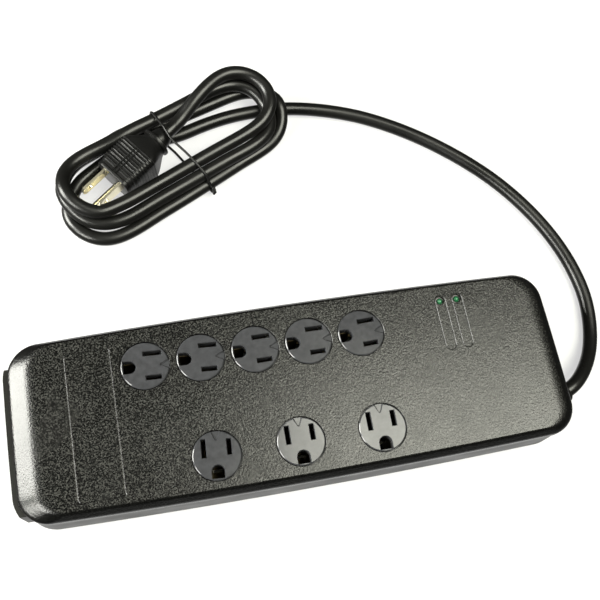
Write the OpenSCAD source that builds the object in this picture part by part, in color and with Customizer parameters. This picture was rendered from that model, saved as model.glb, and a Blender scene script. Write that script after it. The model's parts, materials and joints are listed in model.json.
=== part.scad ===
// Eight-outlet surge protector strip with an end switch, a mains lead folded into a tied hank, and a
// three-pin plug. Millimetres. +X runs along the strip to the cord end, +Y to the row of five outlets,
// +Z up. The origin is on the standing surface, under the middle of the strip.

/* [Housing] */
// Length of the cover and base
body_l = 289; // [287:0.5:292]
// Width at the middle of the strip
body_w = 95; // [94:0.5:98]
// Height from the standing surface to the top face
body_h = 36; // [35:0.5:38]
// Radius of the corners seen from above
corner_r = 15; // [13:0.5:18]
// How far each long side bows outwards
side_bow = 2.4; // [0:0.2:3]
// How far each short side bows outwards
end_bow = 0.5; // [0:0.1:1]
// Thickness of the cover and base walls
wall = 2.4; // [2:0.1:2.8]
// Width of the sloping edge along the long sides
side_slope_w = 5; // [4:0.5:6]
// Width of the sloping edge at the two ends
end_slope_w = 10; // [8:0.5:11]
// Height of the sloping edge
slope_h = 6; // [4:0.5:7]
// Height of the gap that shows between cover and base
reveal_h = 1.5; // [1:0.25:2]

/* [Outlets] */
// Diameter of an outlet's face
outlet_d = 25; // [24:0.5:25.5]
// Gap between a face and the cover's hole
outlet_gap = 0.35; // [0.2:0.05:0.5]
// Pitch of the back row of five
pitch = 28.4; // [28.2:0.1:28.8]
// Distance of the back row from the middle line
back_row_y = 23.6; // [23:0.2:24]
// Distance of the front row's slots from the middle line
front_row_y = 23.6; // [23:0.2:24]

/* [End switch] */
// How far the end panel stands out of the base
panel_proud = 3; // [2:0.5:4]
// Width of the rocker
rocker_w = 18.6; // [18:0.2:19]
// Height of the rocker
rocker_h = 12.4; // [12:0.2:12.6]
// Travel of the rocker from on to off, in degrees
rocker_travel = 20; // [16:1:22]

/* [Lead and plug] */
// Diameter of the mains lead
cord_d = 8; // [7.5:0.1:8.5]
// Angle at which the lead leaves the end wall, in degrees
exit_angle = 25; // [15:1:30]
// Length of the plug's two blades
blade_l = 17.6; // [15.9:0.1:18.3]
// Length of the plug's earth pin
earth_pin_l = 20.6; // [20:0.1:21]

/* [Hidden] */
$fn = 48;

fit = 0.1;                                   // gap between parts that touch or nearly touch
foot_h = 1.5;
body_mid = panel_proud / 2;                  // the panel stands out at -X, so the shells sit off centre
base_floor = foot_h + wall;
cover_z = body_h - slope_h - 4;              // lower edge of the cover
base_top = cover_z - reveal_h;
under_top = body_h - wall;                   // underside of the cover's top
lip_inset = wall + 0.3;
lip_t = 1.5;
post_z = 12;                                 // where the cover's posts meet the base's pillars

// ---- outline of the housing -------------------------------------------------------------------

function side(v) = v < 0 ? -1 : 1;
function arc_points(c, r, a0, n) = [for (i = [0:n]) c + r * [cos(a0 + 90 * i / n), sin(a0 + 90 * i / n)]];
function edge_points(p, q, n) = [for (i = [1:n - 1]) p + (q - p) * i / n];
function rounded_rect(hl, hw, r, n = 12) = let (x = hl - r, y = hw - r) concat(
    arc_points([x, y], r, 0, n), edge_points([x, hw], [-x, hw], n),
    arc_points([-x, y], r, 90, n), edge_points([-hl, y], [-hl, -y], 4),
    arc_points([-x, -y], r, 180, n), edge_points([-x, -hw], [x, -hw], n),
    arc_points([x, -y], r, 270, n), edge_points([hl, -y], [hl, y], 4));
function bowed(p) = [body_mid + p.x - side(p.x) * end_bow * pow(2 * p.y / body_w, 2),
                     p.y - side(p.y) * side_bow * pow(2 * p.x / body_l, 2)];
function outline(inset_x, inset_y) = [for (p = rounded_rect(body_l / 2 - inset_x, body_w / 2 - inset_y,
                                                            max(corner_r - inset_y, 4))) bowed(p)];

// A closed solid through outlines at several heights. Each level is [height, inset along X, inset along Y].
module loft(levels) {
    rings = [for (l = levels) [for (p = outline(l[1], l[2])) [p.x, p.y, l[0]]]];
    n = len(rings[0]);
    polyhedron(
        [for (r = rings) for (p = r) p],
        concat(
            [[for (k = [0:n - 1]) k]],
            [for (i = [0:len(levels) - 2]) for (k = [0:n - 1]) each
                let (a = i * n + k, b = i * n + (k + 1) % n) [[a, b + n, b], [a, a + n, b + n]]],
            [[for (k = [0:n - 1]) len(levels) * n - 1 - k]]));
}
module prism(z0, z1, inset) translate([0, 0, z0]) linear_extrude(z1 - z0) polygon(outline(inset, inset));
module ring(z0, z1, inset, t) difference() {
    prism(z0, z1, inset);
    prism(z0 - 1, z1 + 1, inset + t);
}
module groove(centre, size, r, w, depth) translate([centre.x, centre.y, body_h - depth])
    linear_extrude(depth + 1) difference() {
        polygon(rounded_rect(size.x / 2, size.y / 2, r));
        polygon(rounded_rect(size.x / 2 - w, size.y / 2 - w, r - w));
    }
module bar(from, to) translate(from) cube(to - from);

// The slope's profile: height below the top face, then the share of the slope's width.
slope = [[slope_h + 0.5, 0], [slope_h - 0.5, 0.05], [0.9, 0.87], [0.25, 0.96], [0, 1.06]];

module cover_outside() loft(concat([[cover_z, 0, 0]],
    [for (s = slope) [body_h - s[0], s[1] * end_slope_w, s[1] * side_slope_w]]));
module cover_inside() loft([[cover_z - 1, wall, wall], [under_top - 4.4, wall, wall],
                            [under_top, end_slope_w + 0.3, side_slope_w + 0.9]]);

// ---- places -----------------------------------------------------------------------------------

// Each outlet's face: its middle, the turn that puts its earth hole left or in front, and the small
// twist that it is left with when it is pressed in.
slots_off = 4;                               // from the face's middle to the line of the two slots
back_x0 = -74;
front_x0 = -45.1;
twist = [-2.5, -3.5, 0, -0.5, 1.5, -4, -1, -1];
outlets = [for (i = [0:7]) i < 5 ? [[back_x0 + i * pitch, back_row_y], -90 + twist[i]]
                                 : [[front_x0 + (i - 5) * 1.5 * pitch, -front_row_y - slots_off], twist[i]]];
slot_x = 6.35;                               // from the middle to each slot
earth_y = slots_off - 11.9;                  // the earth hole's place on the face
led_spots = [[86.3, 34.8], [95.8, 34.8]];
led_r = 1.6;
led_recess_r = 2.5;
led_recess = 1.2;
label_mid = [-102.3, -2];
label_size = [23.5, 75.5];
pill_size = [6.2, 31.2];
pill_y = 22.3;
screw_spots = [[-129, 36], [-129, -36], [131, 36], [88, -38.5], [-62, -5], [60, -5]];
board_spots = [[73, 36], [73, -15], [120, 36], [120, -15]];
keyhole_x = [-82.5, 82.5];
keyhole_y = -6;
foot_spots = [[-112, 35], [-112, -35], [115, 35], [115, -35]];
tray_posts = [[-80, 10.5], [46, 10.5], [-53, -14], [48, -14]];
end_x = body_mid + body_l / 2;               // the end wall's outer face
exit_y = -24;
exit_z = 16;

module place_outlet(i) translate(outlets[i][0]) rotate(outlets[i][1]) children();
module at_exit() translate([end_x, exit_y, exit_z]) rotate(exit_angle) rotate([0, 90, 0]) children();

// ---- cover and base ---------------------------------------------------------------------------

module top_cover() color([0.10, 0.10, 0.10]) difference() {
    union() {
        difference() {
            cover_outside();
            cover_inside();
        }
        for (p = screw_spots) translate([p.x, p.y, post_z]) cylinder(r = 3.6, h = under_top + 0.6 - post_z);
    }
    for (p = screw_spots) translate([p.x, p.y, post_z - 1]) cylinder(r = 1.5, h = 13);
    for (o = outlets) translate([o[0].x, o[0].y, cover_z]) cylinder(r = outlet_d / 2 + outlet_gap, h = 20);
    for (p = led_spots) translate([p.x, p.y, cover_z]) cylinder(r = led_r + 0.15, h = 20);
    groove(label_mid, label_size, 2, 0.7, 0.4);
    for (p = led_spots) groove([p.x, pill_y], pill_size, 3, 0.5, 0.3);
    for (p = led_spots) translate([p.x, p.y, body_h - led_recess]) cylinder(r = led_recess_r, h = 5);
}

keyhole_r = 4.25;
keyhole_neck = 4.4;
keyhole_run = 7;

module keyhole(x, grow, z0, z1) translate([x, keyhole_y, z0]) {
    cylinder(r = keyhole_r + grow, h = z1 - z0);
    translate([0, -keyhole_neck / 2 - grow, 0]) cube([keyhole_run, keyhole_neck + 2 * grow, z1 - z0]);
    translate([keyhole_run, 0, 0]) cylinder(r = keyhole_neck / 2 + grow, h = z1 - z0);
}

module base() color([0.12, 0.12, 0.115]) difference() {
    union() {
        difference() {
            loft([[foot_h, 1.4, 1.4], [foot_h + 1.4, 0, 0], [base_top, 0.5, 0.5]]);
            prism(base_floor, base_top + 1, wall + 0.4);
        }
        ring(base_top - 6, base_top + 4, lip_inset, lip_t);
        for (p = screw_spots) translate([p.x, p.y, foot_h]) cylinder(r = 4.2, h = post_z - foot_h);
        for (p = board_spots) translate([p.x, p.y, base_floor - 1]) cylinder(r = 3, h = board_z - base_floor + 1);
        for (p = tray_posts) translate([p.x, p.y, base_floor - 1]) {
            cylinder(r = 3, h = tray_z - base_floor + 1);
            cylinder(r = peg_r, h = tray_z + tray_t + 1 - base_floor + 1);
        }
        for (x = keyhole_x) difference() {
            keyhole(x, 1.4, base_floor - 1, base_floor + 4.4);
            keyhole(x, 0, base_floor - 2, base_floor + 3);
        }
        clamp_seat();
    }
    for (p = screw_spots) translate([p.x, p.y, 0]) {
        cylinder(r = 3.4, h = foot_h + 4.5);
        cylinder(r = 1.8, h = post_z + 1);
    }
    for (p = board_spots) translate([p.x, p.y, base_floor + 1]) cylinder(r = 1.1, h = 20);
    for (x = keyhole_x) keyhole(x, 0, 0, base_floor + 1);
    for (p = foot_spots) translate([p.x, p.y, 0]) cylinder(r = foot_r + fit, h = foot_h + foot_sunk);
    at_exit() translate([0, 0, -12]) cylinder(r = relief_r + fit, h = 20);
    at_exit() translate([0, 0, -24]) cylinder(r = relief_flange_r + fit, h = 24 - relief_flange + fit);
    end_window(fit);
    for (p = screw_spots) translate([p.x, p.y, post_z]) cylinder(r = 3.9, h = 20);
}

foot_r = 5;
foot_sunk = 0.9;
module rubber_feet() color([0.16, 0.16, 0.16]) for (p = foot_spots) translate([p.x, p.y, 0])
    rotate_extrude() polygon([[0, 0], [foot_r - 0.6, 0], [foot_r, 0.6], [foot_r, foot_h + foot_sunk],
                              [0, foot_h + foot_sunk]]);

module housing_screws() color([0.45, 0.45, 0.46]) for (p = screw_spots) translate([p.x, p.y, foot_h + 2.6])
    difference() {
        union() {
            cylinder(r = 3, h = 1.9);
            cylinder(r = 1.4, h = 16);
        }
        for (a = [0, 90]) rotate(a) translate([-1.7, -0.4, -1]) cube([3.4, 0.8, 2]);
    }

// ---- outlets ----------------------------------------------------------------------------------

outlet_floor = 30.4;
slot_t = 2.3;
neutral_slot = 9.2;
line_slot = 7.9;
earth_w = 6.4;

module earth_hole(h) linear_extrude(h) union() {
    translate([0, earth_y + 0.1]) circle(r = earth_w / 2);
    translate([-earth_w / 2, earth_y - earth_w / 2]) square([earth_w, earth_w / 2 + 0.1]);
}

module outlet(i) color([0.20, 0.20, 0.215]) place_outlet(i) difference() {
    union() {
        translate([0, 0, outlet_floor]) cylinder(r = outlet_d / 2, h = body_h - outlet_floor);
        translate([0, 0, under_top - 2]) cylinder(r = outlet_d / 2 + 0.8, h = 2 - fit);
    }
    for (s = [[-slot_x, neutral_slot], [slot_x, line_slot]])
        translate([s[0] - slot_t / 2, slots_off - s[1] / 2, outlet_floor - 1]) cube([slot_t, s[1], 30]);
    translate([0, 0, outlet_floor - 1]) earth_hole(30);
    translate([0, outlet_d / 2 - 4.2, body_h - 0.5]) linear_extrude(1)
        polygon([[0, 0], [2.4, 5], [-2.4, 5]]);
}

// ---- contacts ---------------------------------------------------------------------------------

metal_t = 0.8;
leaf_t = 0.5;
contact_z = 17.2;                            // underside of the line and neutral bars
earth_z = 12.2;                              // underside of the earth bars
contact_top = 30;

// Two sprung leaves on a foot: leaves stand d apart, w wide along Y, closing in at the throat.
module leaves(w, d, z, h) translate([0, w / 2, z]) rotate([90, 0, 0]) linear_extrude(w) union() {
    translate([-d / 2 - leaf_t, 0.1]) square([d + 2 * leaf_t, metal_t]);
    for (m = [0, 1]) mirror([m, 0]) polygon([[d / 2, 0.1], [d / 2 + leaf_t, 0.1], [d / 2 + leaf_t, h * 0.5],
        [d / 2 + leaf_t - 0.1, h * 0.8], [d / 2 + leaf_t + 0.3, h], [d / 2 + 0.3, h],
        [d / 2 - 0.1, h * 0.8], [d / 2, h * 0.5]]);
}
module blade_clip(i, s) place_outlet(i) translate([s * slot_x, slots_off, 0])
    leaves(7, 1.9, contact_z, contact_top - contact_z);
module earth_clip(i) place_outlet(i) translate([0, earth_y, 0]) leaves(6, 5.4, earth_z, contact_top - earth_z);

back = [0:4];
front = [5:7];
strip_w = 4.4;
back_ends = [outlets[0][0].x - 10, outlets[4][0].x + 10];
front_ends = [outlets[5][0].x - 12, outlets[7][0].x + 12];

module back_bar(y, z) bar([back_ends[0], y - strip_w / 2, z], [back_ends[1], y + strip_w / 2, z + metal_t]);
module front_bar(y, w, z) bar([front_ends[0], y, z], [front_ends[1], y + w, z + metal_t]);

module back_line_bar() color("goldenrod") union() {
    back_bar(back_row_y - slot_x, contact_z);
    for (i = back) blade_clip(i, 1);
}
module back_neutral_bar() color("goldenrod") union() {
    back_bar(back_row_y + slot_x, contact_z);
    for (i = back) blade_clip(i, -1);
}
module back_earth_bar() color("goldenrod") union() {
    back_bar(back_row_y, earth_z);
    for (i = back) earth_clip(i);
}

front_line_y = -front_row_y - 8;
front_neutral_y = -front_row_y + 5;
front_earth_y = -front_row_y - 17.6;
module front_line_bar() color("goldenrod") union() {
    front_bar(front_line_y, 3, contact_z);
    for (i = front) {
        place_outlet(i) translate([slot_x - 2, -4.5, contact_z]) cube([4, 6, metal_t]);
        blade_clip(i, 1);
    }
}
module front_neutral_bar() color("goldenrod") union() {
    front_bar(front_neutral_y, 3, contact_z);
    for (i = front) {
        place_outlet(i) translate([-slot_x - 2, 6.5, contact_z]) cube([4, 4, metal_t]);
        blade_clip(i, -1);
    }
}
module front_earth_bar() color("goldenrod") union() {
    front_bar(front_earth_y, 4, earth_z);
    for (i = front) {
        place_outlet(i) translate([-3, -12.5, earth_z]) cube([6, 4, metal_t]);
        earth_clip(i);
    }
}

// ---- contact trays ----------------------------------------------------------------------------

tray_z = 9.8;
tray_t = earth_z - tray_z;
peg_r = 1;

module tray_rib(x0, x1, y, w) bar([x0, y - w / 2, earth_z - 1], [x1, y + w / 2, contact_z]);
module back_contact_tray() color([0.75, 0.74, 0.70]) difference() {
    union() {
        bar([back_ends[0] - 1, 7, tray_z], [back_ends[1] + 1, 37, earth_z]);
        for (y = [back_row_y - slot_x, back_row_y + slot_x]) for (i = [0:5])
            tray_rib(back_ends[0] + 8 + i * 23, back_ends[0] + 14 + i * 23, y, 2.4);
    }
    for (p = tray_posts) translate([p.x, p.y, tray_z - 1]) cylinder(r = peg_r + fit, h = 5);
}
module front_contact_tray() color([0.75, 0.74, 0.70]) difference() {
    union() {
        bar([front_ends[0] - 1, -43, tray_z], [front_ends[1] + 1, -11, earth_z]);
        for (i = [0:3]) for (y = [front_line_y, front_neutral_y])
            tray_rib(front_ends[0] + 2 + i * 33, front_ends[0] + 8 + i * 33, y + 1.5, 2.4);
    }
    for (p = tray_posts) translate([p.x, p.y, tray_z - 1]) cylinder(r = peg_r + fit, h = 5);
}

// ---- circuit board ----------------------------------------------------------------------------

board_z = 12;
board_t = 1.6;
board_top = board_z + board_t;

module circuit_board() color([0.08, 0.35, 0.18]) difference() {
    bar([68, -20, board_z], [125, 41, board_top]);
    for (p = board_spots) translate([p.x, p.y, board_z - 1]) cylinder(r = 1.2, h = 5);
}
module board_screws() color([0.6, 0.6, 0.6]) for (p = board_spots) translate([p.x, p.y, 0]) {
    translate([0, 0, board_top]) cylinder(r = 2.4, h = 1.6);
    translate([0, 0, board_top - 7]) cylinder(r = 1, h = 8);
}

module disc_part(p, d, t) translate([p.x, p.y, board_top]) {
    translate([0, t / 2, d / 2 + 2]) rotate([90, 0, 0]) cylinder(r = d / 2, h = t);
    for (x = [-3.5, 3.5]) translate([x, 0, 0]) cylinder(r = 0.5, h = d / 2);
}
module varistors() color([0.10, 0.25, 0.60]) for (y = [10, 18, 26]) disc_part([116, y], 14, 4.6);
module thermal_fuses() color([0.85, 0.82, 0.72]) for (y = [14, 22]) translate([104, y, board_top + 2.6]) {
    translate([-4.5, 0, 0]) rotate([0, 90, 0]) cylinder(r = 2, h = 9);
    for (x = [-6, 6]) translate([x, 0, -2.6]) cylinder(r = 0.5, h = 3.1);
    translate([-6, 0, 0]) rotate([0, 90, 0]) cylinder(r = 0.5, h = 12);
}
module film_capacitor() color([0.80, 0.65, 0.10]) bar([76, 8, board_top], [94, 16, board_top + 14]);
module choke() color([0.70, 0.40, 0.15]) translate([90, -6, board_top + 4.2]) rotate_extrude()
    translate([7, 0]) circle(r = 4.2);
module resistors() color([0.80, 0.70, 0.50]) for (i = [0:3]) translate([75 + 7 * i, 25, board_top + 1.5]) {
    translate([0, -3, 0]) rotate([-90, 0, 0]) cylinder(r = 1.1, h = 6);
    for (y = [-4.5, 4.5]) translate([0, y, -1.5]) cylinder(r = 0.3, h = 1.8);
    translate([0, -4.5, 0]) rotate([-90, 0, 0]) cylinder(r = 0.3, h = 9);
}

led_z = 31;
led_sunk = 0.3;
module led(p) color([0.15, 0.75, 0.25]) translate([p.x, p.y, 0]) {
    translate([0, 0, led_z]) cylinder(r = led_r, h = body_h - led_sunk - led_r - led_z);
    translate([0, 0, body_h - led_sunk - led_r]) sphere(r = led_r);
    translate([0, 0, led_z]) cylinder(r = 1.9, h = 1);
    for (x = [-1.27, 1.27]) translate([x, 0, board_top]) cylinder(r = 0.3, h = led_z + 0.5 - board_top);
}
module led_spacers() color([0.9, 0.9, 0.88]) for (p = led_spots) translate([p.x, p.y, board_top]) difference() {
    cylinder(r = 2.6, h = led_z - fit - board_top);
    translate([0, 0, -1]) cylinder(r = 1.9, h = 30);
}

// ---- end panel and switch ---------------------------------------------------------------------

wall_x = body_mid - body_l / 2;              // the switch end's outer face
panel_x = wall_x - panel_proud;
panel_y = [-39.5, 35.5];
panel_z = [3.2, cover_z - 0.6];
window_y = [panel_y[0] + 5, panel_y[1] - 5];
window_z = [6, base_top + 1];
rim_x = wall_x + 4.6;
rim_t = 2;
switch_y = -2;
switch_z = 14;
bezel = [25, 18.4];
bezel_t = 1.4;
pocket = 2;
hinge_x = panel_x + 6.6;

module end_window(grow) bar([wall_x - 5, window_y[0] - grow, window_z[0] - grow],
                            [rim_x + 3, window_y[1] + grow, window_z[1] + 0.4]);

module end_panel() color([0.11, 0.11, 0.11]) difference() {
    union() {
        intersection() {
            difference() {
                prism(panel_z[0], panel_z[1], -panel_proud);
                prism(panel_z[0] - 1, panel_z[1] + 1, 0);
            }
            translate([panel_x - 1, panel_y[0], panel_z[0]])
                cube([20, panel_y[1] - panel_y[0], panel_z[1] - panel_z[0]]);
        }
        difference() {
            bar([wall_x - 1, window_y[0], window_z[0]], [rim_x, window_y[1], window_z[1]]);
            bar([wall_x - 2, window_y[0] + rim_t, window_z[0] + rim_t],
                [rim_x + 1, window_y[1] - rim_t, window_z[1] - rim_t]);
        }
    }
    // shallow seat for the switch's frame, and the hole behind it
    bar([panel_x - 1, switch_y - bezel.x / 2 - fit, switch_z - bezel.y / 2 - fit],
        [panel_x + pocket, switch_y + bezel.x / 2 + fit, switch_z + bezel.y / 2 + fit]);
    bar([panel_x - 1, switch_y - case_w / 2 - fit, switch_z - case_h / 2 - fit],
        [rim_x + 1, switch_y + case_w / 2 + fit, switch_z + case_h / 2 + fit]);
}

case_w = 21.6;
case_h = 15.4;
case_back = panel_x + 23;
rocker_gap = 0.3;
pivot_r = 1.6;
arm_x = hinge_x + 9.9;                       // the contact arm's own pivot
arm_pivot_r = 0.9;
contact_y = -6;                              // the switched contact, on the side that the rocker presses

module from_switch() translate([0, switch_y, switch_z]) children();

module switch_housing() color([0.07, 0.07, 0.07]) from_switch() difference() {
    union() {
        bar([panel_x + pocket - bezel_t, -bezel.x / 2, -bezel.y / 2],
            [panel_x + pocket, bezel.x / 2, bezel.y / 2]);
        bar([panel_x + pocket - 0.5, -case_w / 2, -case_h / 2], [case_back, case_w / 2, case_h / 2]);
    }
    bar([panel_x - 1, -rocker_w / 2 - rocker_gap, -rocker_h / 2 - rocker_gap],
        [case_back - 2, rocker_w / 2 + rocker_gap, rocker_h / 2 + rocker_gap]);
    translate([hinge_x, 0, -case_h / 2 + 0.4]) cylinder(r = pivot_r + 0.05, h = case_h - 0.8);
    for (y = [contact_y, 0]) translate([case_back - 3, y - 0.5, -2.5]) cube([5, 1, 5]);
}

// The rocker: a drum about the hinge with a shallow V for a face, its pivots, and the plunger behind.
module rocker_profile() difference() {
    circle(r = rocker_w / 2);
    translate([1.5, -20]) square([40, 40]);
    polygon([[-3.4, 0], [-3.4 - 16 * sin(rocker_travel / 2), 16], [-30, 16], [-30, -16],
             [-3.4 - 16 * sin(rocker_travel / 2), -16]]);
}
module switch_rocker() color([0.14, 0.14, 0.14]) from_switch() translate([hinge_x, 0, 0])
    rotate(-rocker_travel / 2) union() {
        translate([0, 0, -rocker_h / 2]) linear_extrude(rocker_h) rocker_profile();
        translate([0, 0, -case_h / 2 + 0.6]) cylinder(r = pivot_r, h = case_h - 1.2);
        rotate([0, 90, 0]) cylinder(r = 1.4, h = 6.6);
        translate([6.6, 0, 0]) sphere(r = 1.4);
    }

module switch_contact_arm() color([0.80, 0.55, 0.30]) from_switch() translate([arm_x, 0, 0])
    rotate(rocker_travel / 4) union() {
        bar([-1.3, -7, -2.4], [-0.5, 7, 2.4]);
        translate([0, 0, -3.9]) cylinder(r = arm_pivot_r, h = 7.8);
        translate([-0.6, contact_y, 0]) rotate([0, 90, 0]) cylinder(r = 1.4, h = 1);
    }

module switch_terminals() color([0.80, 0.68, 0.35]) from_switch() {
    bar([arm_x + 2, contact_y - 0.4, -2.4], [case_back + 7, contact_y + 0.4, 2.4]);
    bar([arm_x + 2, contact_y - 1.6, -2.4], [arm_x + 2.8, contact_y + 1.6, 2.4]);
    translate([arm_x + 1.25, contact_y, 0]) rotate([0, 90, 0]) cylinder(r = 1.4, h = 1);
    difference() {
        union() {
            bar([arm_x + 1.8, -0.4, -2.4], [case_back + 7, 0.4, 2.4]);
            for (z = [-4, 2.8]) bar([arm_x - 1.6, -2, z], [arm_x + 2.8, 2, z + 1.2]);
            bar([arm_x + 1.8, -2, -4], [arm_x + 2.8, 2, 4]);
        }
        translate([arm_x, 0, -10]) cylinder(r = arm_pivot_r + 0.05, h = 20);
    }
}

// ---- cord entry -------------------------------------------------------------------------------

relief_r = 7;
relief_flange_r = 8.4;
relief_flange = 7.5;                         // from the end wall's face in to the flange
relief_in = 15;                              // how far the strain relief reaches inside
nose = 5;                                    // and how far it stands out
cord_r = cord_d / 2;
turn_r = 30;                                 // radius at which the jacket straightens up inside
tail_l = 14;                                 // straight jacket after that
turn_start = [end_x - relief_in * cos(exit_angle), exit_y - relief_in * sin(exit_angle)];
turn_end = turn_start - turn_r * [sin(exit_angle), 1 - cos(exit_angle)];
clamp_x = turn_end.x - 6;
lead_start = [end_x + nose * cos(exit_angle), exit_y + nose * sin(exit_angle), exit_z];

module strain_relief() color([0.09, 0.09, 0.09]) at_exit() rotate_extrude() polygon([
    [cord_r + 0.02, -relief_in], [relief_flange_r, -relief_in], [relief_flange_r, -relief_flange],
    [relief_r, -relief_flange], [relief_r, -2.5], [5.6, nose - 0.5], [5.2, nose], [cord_r + 0.02, nose]]);

// The jacket runs straight in through the strain relief, then turns to lie along the strip.
tail_route = concat(
    [[turn_end.x - tail_l, turn_end.y, exit_z]],
    [for (a = [0:5:exit_angle]) [turn_end.x + turn_r * sin(a), turn_end.y + turn_r * (1 - cos(a)), exit_z]],
    [lead_start]);
module cord_tail() color([0.08, 0.08, 0.08]) tube(tail_route, cord_r, lead_sides);

clamp_w = 16.6;
clamp_screw_y = [-6.3, 6.3];
module at_clamp() translate([clamp_x, turn_end.y, 0]) children();
module clamp_seat() at_clamp() difference() {
    bar([-4, -clamp_w / 2, base_floor - 1], [4, clamp_w / 2, exit_z - 1.4]);
    translate([-10, 0, exit_z]) rotate([0, 90, 0]) cylinder(r = cord_r, h = 20);
    for (y = clamp_screw_y) translate([0, y, base_floor + 1]) cylinder(r = 1.3, h = 20);
}
module cord_clamp() color([0.70, 0.70, 0.68]) at_clamp() difference() {
    bar([-3.5, -clamp_w / 2, exit_z - 1.2], [3.5, clamp_w / 2, exit_z + 6]);
    translate([-10, 0, exit_z]) rotate([0, 90, 0]) cylinder(r = cord_r, h = 20);
    for (y = clamp_screw_y) translate([0, y, exit_z - 2]) cylinder(r = 1.3, h = 20);
}
module clamp_screws() color([0.6, 0.6, 0.6]) at_clamp() for (y = clamp_screw_y) translate([0, y, 0]) {
    translate([0, 0, exit_z + 6]) cylinder(r = 2, h = 1.8);
    translate([0, 0, exit_z - 8]) cylinder(r = 1.2, h = 15);
}

// ---- wires ------------------------------------------------------------------------------------

wire_r = 1.1;
tail_x = turn_end.x - tail_l;
tail_y = turn_end.y;
blade_end = case_back + 7;                   // where the switch's terminals end

function wire_start(y, z) = [for (x = [0.3, 4]) [tail_x - x, tail_y + y, exit_z + z]];
function wire_end(x, y, z) = [[x + 4, y, z], [x + fit, y, z]];
module wire(pts) tube(sweep_line(pts, 3), wire_r, 8);

module line_wire() color([0.05, 0.05, 0.05]) wire(concat(wire_start(-1.6, -1), [[88, -32, 11], [75, -37, 7],
    [60, -42, 6], [20, -42.5, 6], [-30, -42.5, 6], [-75, -41, 6], [-100, -30, 7], [-106, -16, 11]],
    wire_end(blade_end, switch_y + contact_y, switch_z)));
module switched_line_wire() color([0.60, 0.10, 0.10]) wire([[blade_end + fit, switch_y, switch_z],
    [blade_end + 3, switch_y, switch_z], [-104, 0, 8], [-90, 2, 6.4], [-50, 2.5, 6.4], [0, 2.5, 6.4],
    [50, 2.5, 6.4], [60, 2.5, 7.5], [65, 3, 12], [69, 4, 15.5], [73, 5, board_top + wire_r + fit],
    [77, 5, board_top + wire_r + fit]]);
module neutral_wire() color([0.90, 0.90, 0.88]) wire(concat(wire_start(1.8, -0.8), [[98, -28, 19],
    [88, -23, 24], [77, -18, 25], [67, -9, 24], [66, 5, 22], [61, 20, 20.5]],
    wire_end(back_ends[1] - 3, back_row_y + slot_x, contact_z + metal_t + wire_r + 2 * fit)));
module earth_wire() color([0.10, 0.45, 0.15]) wire(concat(wire_start(-0.2, 1.8), [[98, -33.5, 17.5],
    [86, -31, 16], [75, -27, 16], [67.5, -22.5, 16], [66, -12, 16.5], [66, -2, 17], [62, 8, 16],
    [57, 18, 14]], wire_end(back_ends[1] - 3, back_row_y, earth_z + metal_t + wire_r + 2 * fit)));

// ---- lead and hank ----------------------------------------------------------------------------

// The hank's own axes: along it and across it, from its middle.
hank_mid = [-40, 156];
hank_turn = 26.5;
hank_l = 152;
hank_w = 62;
hank_h = 28;

// The lead's middle line from the strain relief to the hank: down to the surface, then round the end.
lead_route = [
    [155, -19.8, 16], [159.5, -17, 14.8], [167, -10.5, 11.5], [174.5, -1.5, 7.5], [180, 9, 4.8],
    [183.5, 22, 4], [184.5, 37, 4], [182, 55, 4], [176, 74, 4], [166, 94, 4], [152, 114, 4], [136, 131, 4],
    [117, 147, 4], [96, 161, 4], [74, 172, 4], [52, 179, 4], [27, 182.5, 4]];
lead_sides = 10;

function route_point(p, q, r, s, t) = 0.5 * (2 * q + (r - p) * t + (2 * p - 5 * q + 4 * r - s) * t * t
                                             + (3 * q - p - 3 * r + s) * t * t * t);
function sweep_line(pts, n) = let (last = len(pts) - 1) concat(
    [for (i = [0:last - 1]) for (k = [0:n - 1])
        route_point(pts[max(i - 1, 0)], pts[i], pts[i + 1], pts[min(i + 2, last)], k / n)], [pts[last]]);
function unit(v) = v / norm(v);
function ring_points(p, t, r, n) = let (a = unit(cross(t, [0, 0, 1])), b = cross(a, t))
    [for (k = [0:n - 1]) p + r * (a * cos(360 * k / n) + b * sin(360 * k / n))];
module tube(pts, r, n) {
    last = len(pts) - 1;
    way = [for (i = [0:last]) unit(pts[min(i + 1, last)] - pts[max(i - 1, 0)])];
    polyhedron(
        [for (i = [0:last]) for (p = ring_points(pts[i], way[i], r, n)) p],
        concat(
            [[for (k = [0:n - 1]) n - 1 - k]],
            [for (i = [0:last - 1]) for (k = [0:n - 1]) each
                let (a = i * n + k, b = i * n + (k + 1) % n) [[a, b + n, a + n], [a, b, b + n]]],
            [[for (k = [0:n - 1]) last * n + k]]));
}

module lead() color([0.08, 0.08, 0.08]) tube(sweep_line(concat([lead_start], lead_route), 2), cord_r, lead_sides);

module from_hank() translate(hank_mid) rotate(hank_turn) children();
module lead_hank() color([0.08, 0.08, 0.08]) difference() {
    from_hank() translate([0, 3.7, 0]) linear_extrude(hank_h) union() {
        for (x = [-1, 1]) translate([x * (hank_l - hank_w) / 2, 0]) circle(r = hank_w / 2);
        square([hank_l - hank_w, hank_w], center = true);
    }
    from_plug(0) translate([0, -14.4, -40]) cube([63, 28.8, 80]);
    hank_tie_band(0);
}
tie_spot = 5;
tie_r = 1.2;
module hank_tie_band(grow) from_hank() translate([tie_spot - tie_r - grow, -60, hank_h - 2 * tie_r])
    cube([2 * (tie_r + grow), 120, 10]);
module hank_tie() color([0.05, 0.05, 0.05]) from_hank() intersection() {
    translate([tie_spot - tie_r, 3.7 - hank_w / 2, hank_h - 2 * tie_r]) cube([2 * tie_r, hank_w, 2 * tie_r]);
    translate([0, 3.7, 0]) linear_extrude(hank_h) square([hank_l, hank_w], center = true);
}

// ---- plug -------------------------------------------------------------------------------------

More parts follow.
